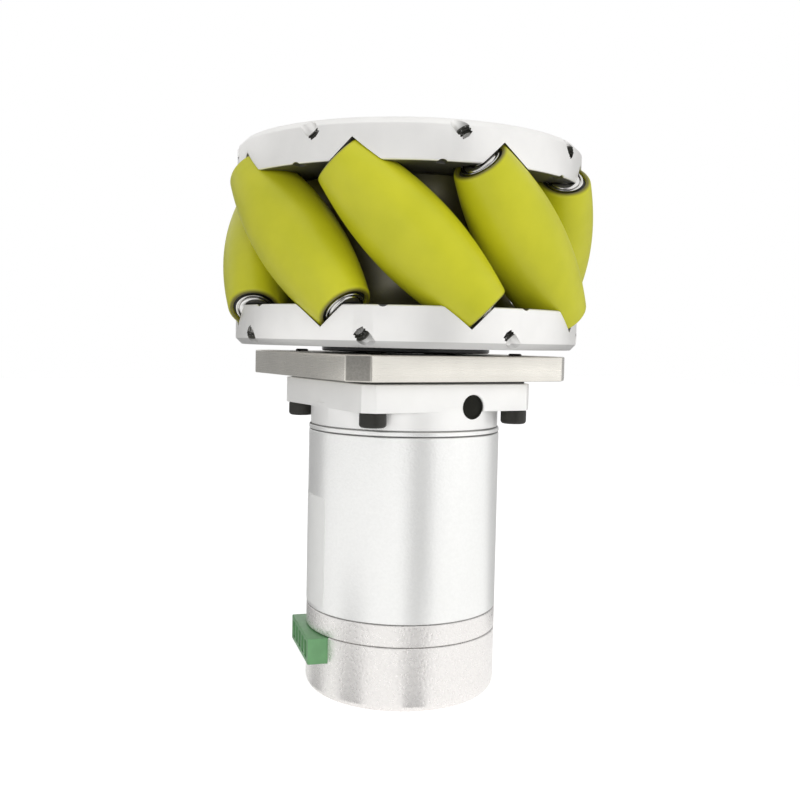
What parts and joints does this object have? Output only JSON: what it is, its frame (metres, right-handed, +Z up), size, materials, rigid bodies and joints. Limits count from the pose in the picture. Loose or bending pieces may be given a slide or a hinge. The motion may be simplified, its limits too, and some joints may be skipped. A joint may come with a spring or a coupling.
{
  "type": "mecanum wheel",
  "caption": "Mecanum wheel with barrel rollers at 45 degrees between two side plates, on its round drive motor with square mounting plates and a terminal header.",
  "frame": {"origin": "centre of the motor end cap's flat face, on the wheel axis", "axes": "+Z up along the wheel axis from the motor to the wheel; X and Y square to the sides of the mounting plate"},
  "size_m": [0.0798, 0.0798, 0.1176],
  "materials": {
    "tyre": "matte moulded polyurethane",
    "wheel_plate": "satin machined",
    "hub": "dull machined",
    "core": "matte",
    "bearing": "polished races",
    "axle": "turned",
    "black_screw": "black oxide, satin",
    "black_flange": "black anodised, glossy",
    "shaft": "ground",
    "mounting_plate": "fine ground",
    "front_flange": "smooth satin",
    "plug": "matte",
    "motor_case": "bead-blasted",
    "end_cap": "bead-blasted",
    "lamination": "stacked sheet steel",
    "winding": "enamelled copper wire",
    "magnet": "plated",
    "board": "solder mask",
    "header": "moulded",
    "contact": "tinned"
  },
  "bodies": {
    "motor": {"mounting_plate": "mounting_plate", "front_flange": "front_flange", "flange_plug": "plug", "flange_screws": "black_screw", "front_bearing": "bearing", "spacer_ring": "motor_case", "motor_can": "motor_case", "rear_ring": "end_cap", "rear_bearing": "bearing", "end_cap": "end_cap", "drive_board": "board", "terminal_header": "header", "terminal_contacts": "contact", "stator_core": "lamination", "stator_windings": "winding"},
    "wheel": {"outer_side_plate": "wheel_plate", "inner_side_plate": "wheel_plate", "hub_barrel": "hub", "outer_hub_screws": "black_screw", "output_flange": "black_flange", "output_flange_screws": "black_screw", "drive_shaft": "shaft", "clamp_screw": "black_screw", "rotor_core": "lamination", "rotor_magnets": "magnet", "encoder_magnet": "magnet", "roller_1_axle": "axle", "roller_2_axle": "axle", "roller_3_axle": "axle", "roller_4_axle": "axle", "roller_5_axle": "axle", "roller_6_axle": "axle", "roller_7_axle": "axle", "roller_8_axle": "axle"},
    "roller_1": {"roller_1_tyre": "tyre", "roller_1_core": "core", "roller_1_bearings": "bearing"},
    "roller_2": {"roller_2_tyre": "tyre", "roller_2_core": "core", "roller_2_bearings": "bearing"},
    "roller_3": {"roller_3_tyre": "tyre", "roller_3_core": "core", "roller_3_bearings": "bearing"},
    "roller_4": {"roller_4_tyre": "tyre", "roller_4_core": "core", "roller_4_bearings": "bearing"},
    "roller_5": {"roller_5_tyre": "tyre", "roller_5_core": "core", "roller_5_bearings": "bearing"},
    "roller_6": {"roller_6_tyre": "tyre", "roller_6_core": "core", "roller_6_bearings": "bearing"},
    "roller_7": {"roller_7_tyre": "tyre", "roller_7_core": "core", "roller_7_bearings": "bearing"},
    "roller_8": {"roller_8_tyre": "tyre", "roller_8_core": "core", "roller_8_bearings": "bearing"}
  },
  "joints": [
    {"name": "wheel_spin", "type": "hinge", "parent": "motor", "child": "wheel", "pos_m": [0, 0, 0.09645], "axis": [0, 0, 1], "continuous": true},
    {"name": "roller_1_spin", "type": "hinge", "parent": "wheel", "child": "roller_1", "pos_m": [0.03026, 0.00874, 0.09645], "axis": [0.1961, -0.6794, 0.7071], "continuous": true},
    {"name": "roller_2_spin", "type": "hinge", "parent": "wheel", "child": "roller_2", "pos_m": [0.01522, 0.02758, 0.09645], "axis": [0.619, -0.3417, 0.7071], "continuous": true},
    {"name": "roller_3_spin", "type": "hinge", "parent": "wheel", "child": "roller_3", "pos_m": [-0.00874, 0.03026, 0.09645], "axis": [0.6794, 0.1961, 0.7071], "continuous": true},
    {"name": "roller_4_spin", "type": "hinge", "parent": "wheel", "child": "roller_4", "pos_m": [-0.02758, 0.01522, 0.09645], "axis": [0.3417, 0.619, 0.7071], "continuous": true},
    {"name": "roller_5_spin", "type": "hinge", "parent": "wheel", "child": "roller_5", "pos_m": [-0.03026, -0.00874, 0.09645], "axis": [-0.1961, 0.6794, 0.7071], "continuous": true},
    {"name": "roller_6_spin", "type": "hinge", "parent": "wheel", "child": "roller_6", "pos_m": [-0.01522, -0.02758, 0.09645], "axis": [-0.619, 0.3417, 0.7071], "continuous": true},
    {"name": "roller_7_spin", "type": "hinge", "parent": "wheel", "child": "roller_7", "pos_m": [0.00874, -0.03026, 0.09645], "axis": [-0.6794, -0.1961, 0.7071], "continuous": true},
    {"name": "roller_8_spin", "type": "hinge", "parent": "wheel", "child": "roller_8", "pos_m": [0.02758, -0.01522, 0.09645], "axis": [-0.3417, -0.619, 0.7071], "continuous": true}
  ]
}
